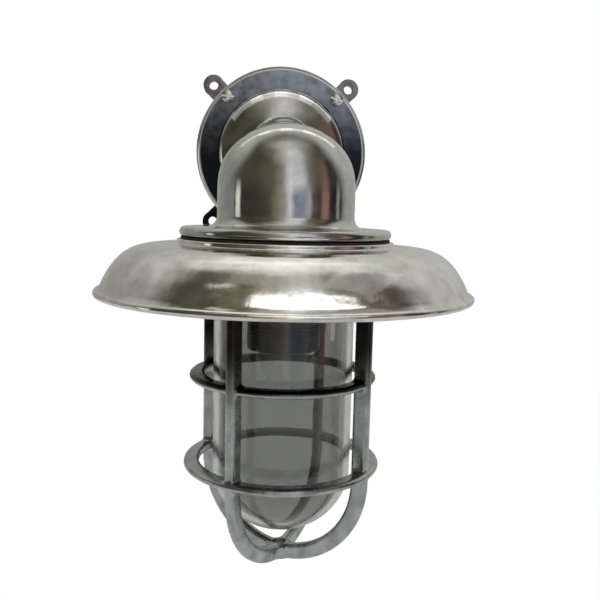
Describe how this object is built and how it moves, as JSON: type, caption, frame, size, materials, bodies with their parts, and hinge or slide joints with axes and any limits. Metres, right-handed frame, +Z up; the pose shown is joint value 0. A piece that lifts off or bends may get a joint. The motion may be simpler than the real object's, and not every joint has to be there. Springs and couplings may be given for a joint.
{
  "type": "bulkhead light",
  "caption": "Wall-mounted bulkhead light: round wall box, hooded elbow arm, wide spun shade, domed glass globe and a cast cage guard that unscrews to free shade and globe.",
  "frame": {"origin": "centre of the wall box's back face, on the arm's axis", "axes": "+Z up, +Y into the wall, -Y out along the arm; the lamp's axis is vertical at y = -0.150"},
  "size_m": [0.267, 0.2835, 0.3778],
  "materials": {
    "box_casting": "cast, lightly polished",
    "arm_casting": "cast and polished",
    "shade_sheet": "spun and polished",
    "guard_casting": "cast, tumbled to a satin",
    "clear_glass": "clear pressed glass",
    "black_rubber": "moulded, matt",
    "screw_steel": "plated",
    "contact_brass": "turned and pressed",
    "dark_bakelite": "moulded, glossy",
    "insert_porcelain": "fired, unglazed",
    "block_plastic": "moulded",
    "brown_insulation": "extruded",
    "blue_insulation": "extruded",
    "green_insulation": "extruded"
  },
  "bodies": {
    "fixture": {"wall_box": "box_casting", "elbow_arm": "arm_casting", "box_gasket": "black_rubber", "cover_screws": "screw_steel", "block_screws": "screw_steel", "bridge_screws": "screw_steel", "holder_bridge": "screw_steel", "terminal_screws": "contact_brass", "earth_screw": "contact_brass", "holder_nipple": "contact_brass", "nipple_nuts": "contact_brass", "screw_shell": "contact_brass", "centre_contact": "contact_brass", "holder_terminals": "contact_brass", "holder_cap": "dark_bakelite", "holder_skirt": "dark_bakelite", "contact_insert": "insert_porcelain", "terminal_block": "block_plastic", "live_wire": "brown_insulation", "neutral_wire": "blue_insulation", "earth_wire": "green_insulation"},
    "globe_set": {"shade": "shade_sheet", "shade_gasket": "black_rubber", "glass_globe": "clear_glass", "upper_globe_gasket": "black_rubber", "lower_globe_gasket": "black_rubber"},
    "guard": {"guard": "guard_casting"}
  },
  "joints": [
    {"name": "guard_drop", "type": "slide", "parent": "fixture", "child": "globe_set", "axis": [0, 0, -1], "range_m": [0, 0.009]},
    {"name": "guard_turn", "type": "hinge", "parent": "globe_set", "child": "guard", "pos_m": [0, -0.15, -0.1], "axis": [0, 0, -1], "range_deg": [0, 1080]}
  ],
  "couplings": [
    {"joint": "guard_drop", "follows": "guard_turn", "m_per_rad": 0.00047746}
  ]
}
